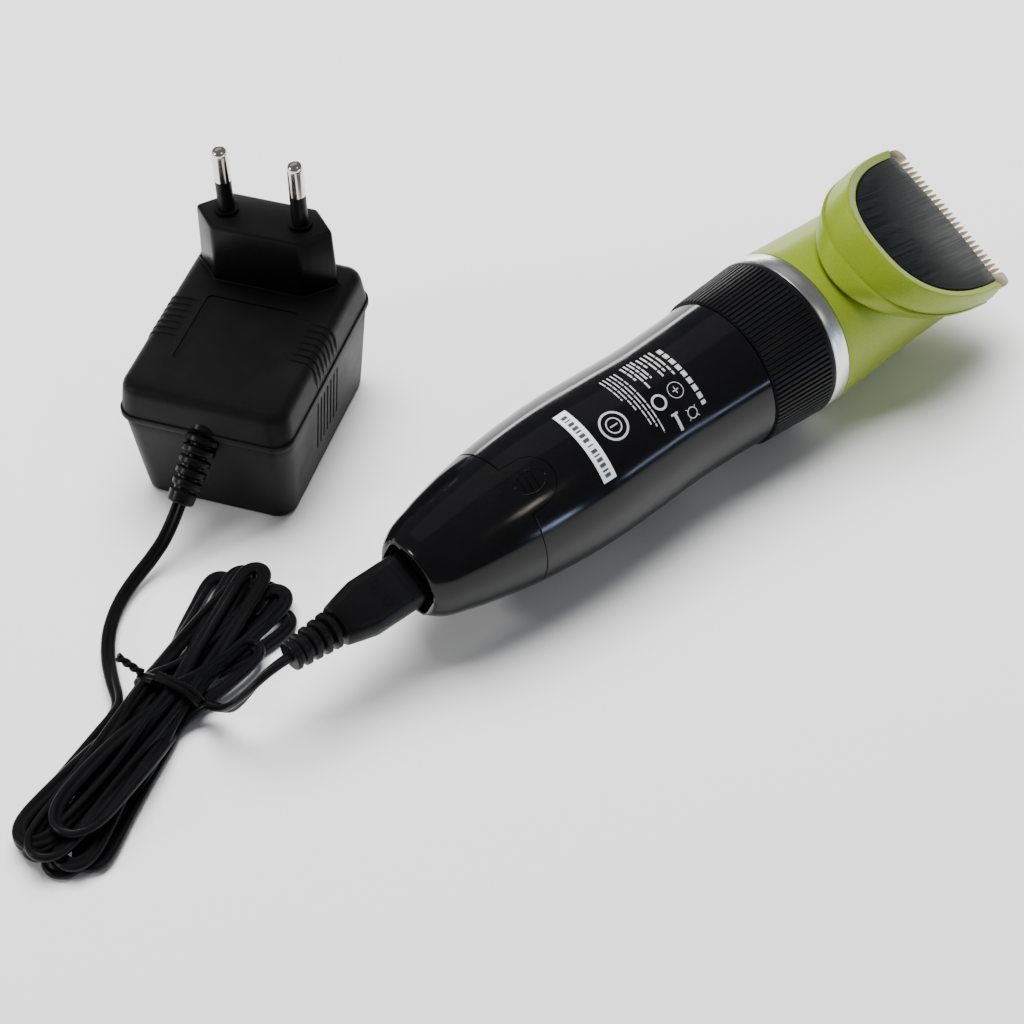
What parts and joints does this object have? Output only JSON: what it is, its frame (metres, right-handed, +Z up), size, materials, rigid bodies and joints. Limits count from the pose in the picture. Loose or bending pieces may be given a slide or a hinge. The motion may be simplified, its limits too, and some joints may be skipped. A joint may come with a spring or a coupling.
{
  "type": "cordless hair and animal clipper with plug-in charger",
  "caption": "Cordless clipper with toothed comb blade, moving cutter, ribbed length ring and slide-off tail cap, lying with its plug-in charger, tied lead and connector.",
  "frame": {"origin": "on the table under the middle of the clipper's own box, without its charger, lead and connector", "axes": "+X along the clipper from tail to blade, +Z up; the clipper lies rolled 24.2 degrees about +X on its switch"},
  "size_m": [0.2793, 0.1364, 0.0721],
  "materials": {
    "housing": "high gloss black",
    "ring_rubber": "satin black, ribbed",
    "trim": "satin silver",
    "hood": "metallic lime green lacquer",
    "plate": "black, finely brushed",
    "gold_blade": "gold coated steel",
    "steel": "plain",
    "cutter": "ground",
    "inner_plastic": "moulded",
    "switch": "ribbed",
    "cap": "high gloss black",
    "board": "solder mask",
    "cell": "shrink sleeve",
    "light": "translucent",
    "label": "paper",
    "connector": "soft PVC",
    "lead": "PVC twin lead",
    "adapter": "fine spark texture",
    "sleeve": "smooth",
    "pins": "nickel plate",
    "core": "laminated",
    "winding": "enamelled copper"
  },
  "bodies": {
    "handle": {"back_housing": "housing", "front_housing": "housing", "housing_screws": "steel", "chrome_ring": "trim", "head_housing": "hood", "battery_cell_left": "cell", "battery_cell_right": "cell", "battery_contacts": "steel", "circuit_board": "board", "switch_body": "inner_plastic", "light_guide": "light", "charge_socket": "inner_plastic", "motor": "steel", "motor_mount": "inner_plastic", "lever_pin": "steel", "label_sticker": "label"},
    "power_switch": {"power_switch": "switch"},
    "length_ring": {"length_ring": "ring_rubber"},
    "depth_rod": {"depth_rod": "steel"},
    "motor_rotor": {"motor_shaft": "steel", "eccentric_cam": "inner_plastic"},
    "drive_lever": {"drive_lever": "inner_plastic"},
    "blade_head": {"blade_frame": "hood", "blade_screws": "steel", "blade_plate": "plate", "fixed_blade": "gold_blade"},
    "cutter_carriage": {"blade_carriage": "inner_plastic", "blade_spring": "steel"},
    "moving_cutter": {"moving_cutter": "cutter", "cutter_drive_block": "inner_plastic"},
    "tail_cap": {"tail_cap": "cap"},
    "charger": {"lead_to_adapter": "lead", "lead_to_connector": "lead", "cord_hank": "lead", "cord_tie": "lead", "charge_connector": "connector", "connector_contacts": "steel", "connector_strain_relief": "connector", "adapter_strain_relief": "connector", "adapter_bottom_shell": "adapter", "adapter_top_shell": "adapter", "plug_block": "adapter", "plug_pins": "pins", "pin_sleeves": "sleeve", "adapter_screws": "steel", "transformer_core": "core", "transformer_windings": "winding", "rectifier_board": "board"}
  },
  "joints": [
    {"name": "switch_slide", "type": "slide", "parent": "handle", "child": "power_switch", "axis": [1, 0, 0], "range_m": [0, 0.004]},
    {"name": "ring_turn", "type": "hinge", "parent": "handle", "child": "length_ring", "pos_m": [0.03155, 0.0025, 0.02143], "axis": [1, 0, 0], "range_deg": [0, 60]},
    {"name": "rod_slide", "type": "slide", "parent": "handle", "child": "depth_rod", "axis": [-1, 0, 0], "range_m": [0, 0.0011]},
    {"name": "rotor_spin", "type": "hinge", "parent": "handle", "child": "motor_rotor", "pos_m": [0.03155, 0.0025, 0.02143], "axis": [1, 0, 0], "continuous": true},
    {"name": "lever_swing", "type": "hinge", "parent": "handle", "child": "drive_lever", "pos_m": [0.04755, 0.0025, 0.02143], "axis": [0, -0.4099, 0.9121], "range_deg": [-5.2, 5.2]},
    {"name": "blade_release", "type": "slide", "parent": "handle", "child": "blade_head", "axis": [0.4274, -0.3706, 0.8246], "range_m": [0, 0.02]},
    {"name": "cutter_depth", "type": "slide", "parent": "blade_head", "child": "cutter_carriage", "axis": [-0.9041, -0.1752, 0.3898], "range_m": [0, 0.00121]},
    {"name": "cutter_stroke", "type": "slide", "parent": "cutter_carriage", "child": "moving_cutter", "axis": [0, 0.9121, 0.4099], "range_m": [-0.0015, 0.0015]},
    {"name": "cap_slide", "type": "slide", "parent": "handle", "child": "tail_cap", "axis": [-1, 0, 0], "range_m": [0, 0.045]},
    {"name": "connector_pull", "type": "slide", "parent": "tail_cap", "child": "charger", "axis": [-1, 0, 0], "range_m": [0, 0.02]}
  ],
  "couplings": [
    {"joint": "rod_slide", "follows": "ring_turn", "m_per_rad": 0.0010313},
    {"joint": "cutter_depth", "follows": "ring_turn", "m_per_rad": 0.0011459},
    {"joint": "lever_swing", "follows": "cutter_stroke", "rad_per_m": 60.5}
  ]
}
